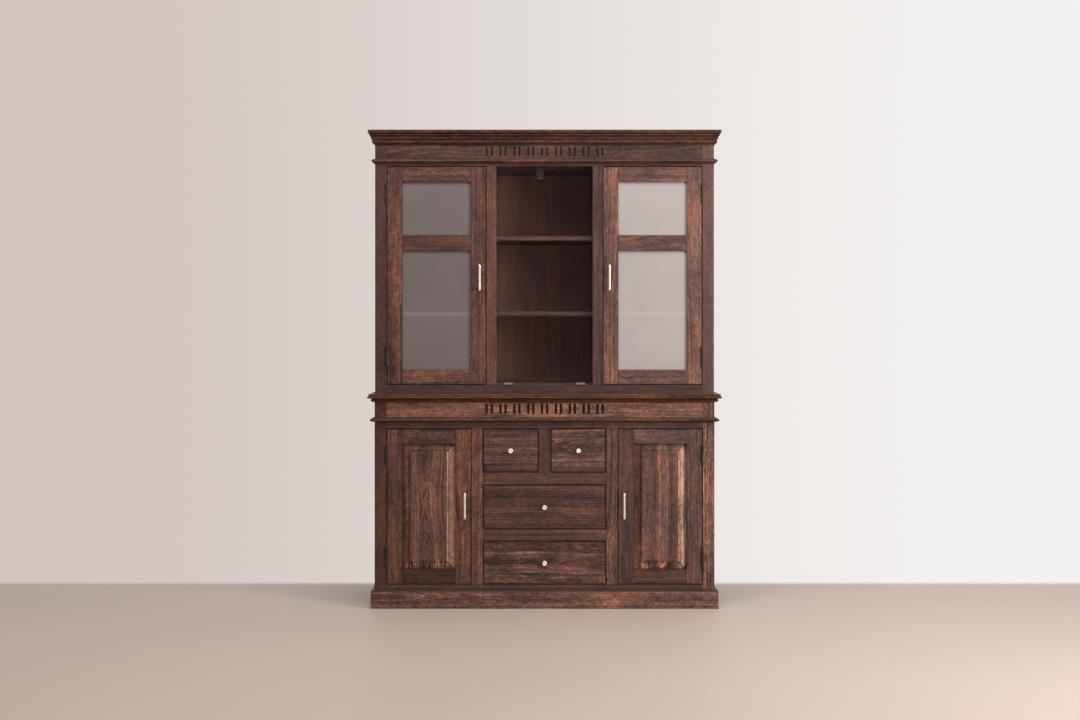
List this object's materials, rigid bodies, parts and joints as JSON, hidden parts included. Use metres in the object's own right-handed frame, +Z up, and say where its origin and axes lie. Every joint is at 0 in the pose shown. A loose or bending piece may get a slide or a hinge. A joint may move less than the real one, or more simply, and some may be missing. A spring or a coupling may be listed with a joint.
{
  "type": "china cabinet with glass doors",
  "caption": "Two-part dark wood china cabinet: a panelled base with doors and drawers under a hutch with frosted glass doors and a shelved centre bay behind a drop-down glass flap.",
  "frame": {"origin": "on the floor, under the middle of the cabinet's outer box", "axes": "+X to the right seen from the front, +Y from the front to the back, +Z up"},
  "size_m": [1.48, 0.45, 2],
  "materials": {
    "stained_wood": "satin lacquer over a dark walnut stain, with streaked grain",
    "drawer_wood": "unlacquered, lightly stained",
    "frosted_glass": "satin etched",
    "clear_glass": "clear with polished edges",
    "satin_nickel": "satin nickel plate",
    "black_iron": "black japanned iron",
    "clamp_metal": "satin chrome",
    "dark_plastic": "dark brown moulded",
    "light_plastic": "grey moulded",
    "peg_steel": "zinc-plated"
  },
  "bodies": {
    "carcass": {"base_back": "stained_wood", "base_face_rails": "stained_wood", "base_face_stiles": "stained_wood", "base_floor": "stained_wood", "base_frieze": "stained_wood", "base_partitions": "stained_wood", "base_shelves": "stained_wood", "base_side_frames": "stained_wood", "bead_mouldings": "stained_wood", "cornice": "stained_wood", "door_catches": "dark_plastic", "drawer_runners": "drawer_wood", "glass_flap_brackets": "clamp_metal", "hinge_pins": "black_iron", "hinge_post_leaves": "black_iron", "hutch_back": "stained_wood", "hutch_face_rails": "stained_wood", "hutch_face_stiles": "stained_wood", "hutch_floor_and_ceiling": "stained_wood", "hutch_frieze": "stained_wood", "hutch_partitions": "stained_wood", "hutch_shelves": "stained_wood", "hutch_side_frames": "stained_wood", "latch_housing": "dark_plastic", "plinth": "stained_wood", "shelf_pegs": "peg_steel", "side_panels": "stained_wood", "top_board": "stained_wood", "waist_board": "stained_wood"},
    "bottom_drawer": {"bottom_drawer_box": "drawer_wood", "bottom_drawer_front": "stained_wood", "bottom_drawer_knob": "satin_nickel"},
    "glass_door_left": {"glass_door_left_frame": "stained_wood", "glass_door_left_handle": "satin_nickel", "glass_door_left_hinge_leaves": "black_iron", "glass_door_left_panes": "frosted_glass"},
    "glass_door_right": {"glass_door_right_frame": "stained_wood", "glass_door_right_handle": "satin_nickel", "glass_door_right_hinge_leaves": "black_iron", "glass_door_right_panes": "frosted_glass"},
    "glass_flap": {"glass_flap_clamps": "clamp_metal", "glass_flap_pane": "clear_glass"},
    "latch_plunger": {"latch_plunger": "light_plastic"},
    "lower_door_left": {"lower_door_left_frame": "stained_wood", "lower_door_left_handle": "satin_nickel", "lower_door_left_hinge_leaves": "black_iron", "lower_door_left_panel": "stained_wood"},
    "lower_door_right": {"lower_door_right_frame": "stained_wood", "lower_door_right_handle": "satin_nickel", "lower_door_right_hinge_leaves": "black_iron", "lower_door_right_panel": "stained_wood"},
    "middle_drawer": {"middle_drawer_box": "drawer_wood", "middle_drawer_front": "stained_wood", "middle_drawer_knob": "satin_nickel"},
    "small_drawer_left": {"small_drawer_left_box": "drawer_wood", "small_drawer_left_front": "stained_wood", "small_drawer_left_knob": "satin_nickel"},
    "small_drawer_right": {"small_drawer_right_box": "drawer_wood", "small_drawer_right_front": "stained_wood", "small_drawer_right_knob": "satin_nickel"}
  },
  "joints": [
    {"name": "glass_door_left_swing", "type": "hinge", "parent": "carcass", "child": "glass_door_left", "pos_m": [-0.6605, -0.1925, 1.394], "axis": [0, 0, -1], "range_deg": [0, 110]},
    {"name": "glass_door_right_swing", "type": "hinge", "parent": "carcass", "child": "glass_door_right", "pos_m": [0.6605, -0.1925, 1.394], "axis": [0, 0, 1], "range_deg": [0, 110]},
    {"name": "lower_door_left_swing", "type": "hinge", "parent": "carcass", "child": "lower_door_left", "pos_m": [-0.6605, -0.2005, 0.426], "axis": [0, 0, -1], "range_deg": [0, 110]},
    {"name": "lower_door_right_swing", "type": "hinge", "parent": "carcass", "child": "lower_door_right", "pos_m": [0.6605, -0.2005, 0.426], "axis": [0, 0, 1], "range_deg": [0, 110]},
    {"name": "small_drawer_left_slide", "type": "slide", "parent": "carcass", "child": "small_drawer_left", "axis": [0, -1, 0], "range_m": [0, 0.28]},
    {"name": "small_drawer_right_slide", "type": "slide", "parent": "carcass", "child": "small_drawer_right", "axis": [0, -1, 0], "range_m": [0, 0.28]},
    {"name": "middle_drawer_slide", "type": "slide", "parent": "carcass", "child": "middle_drawer", "axis": [0, -1, 0], "range_m": [0, 0.28]},
    {"name": "bottom_drawer_slide", "type": "slide", "parent": "carcass", "child": "bottom_drawer", "axis": [0, -1, 0], "range_m": [0, 0.28]},
    {"name": "glass_flap_drop", "type": "hinge", "parent": "carcass", "child": "glass_flap", "pos_m": [0, -0.1915, 0.9365], "axis": [1, 0, 0], "range_deg": [0, 90]},
    {"name": "latch_plunger_press", "type": "slide", "parent": "carcass", "child": "latch_plunger", "axis": [0, 1, 0], "range_m": [0, 0.004], "stiffness_N_per_m": 400, "springref_m": -0.004}
  ]
}
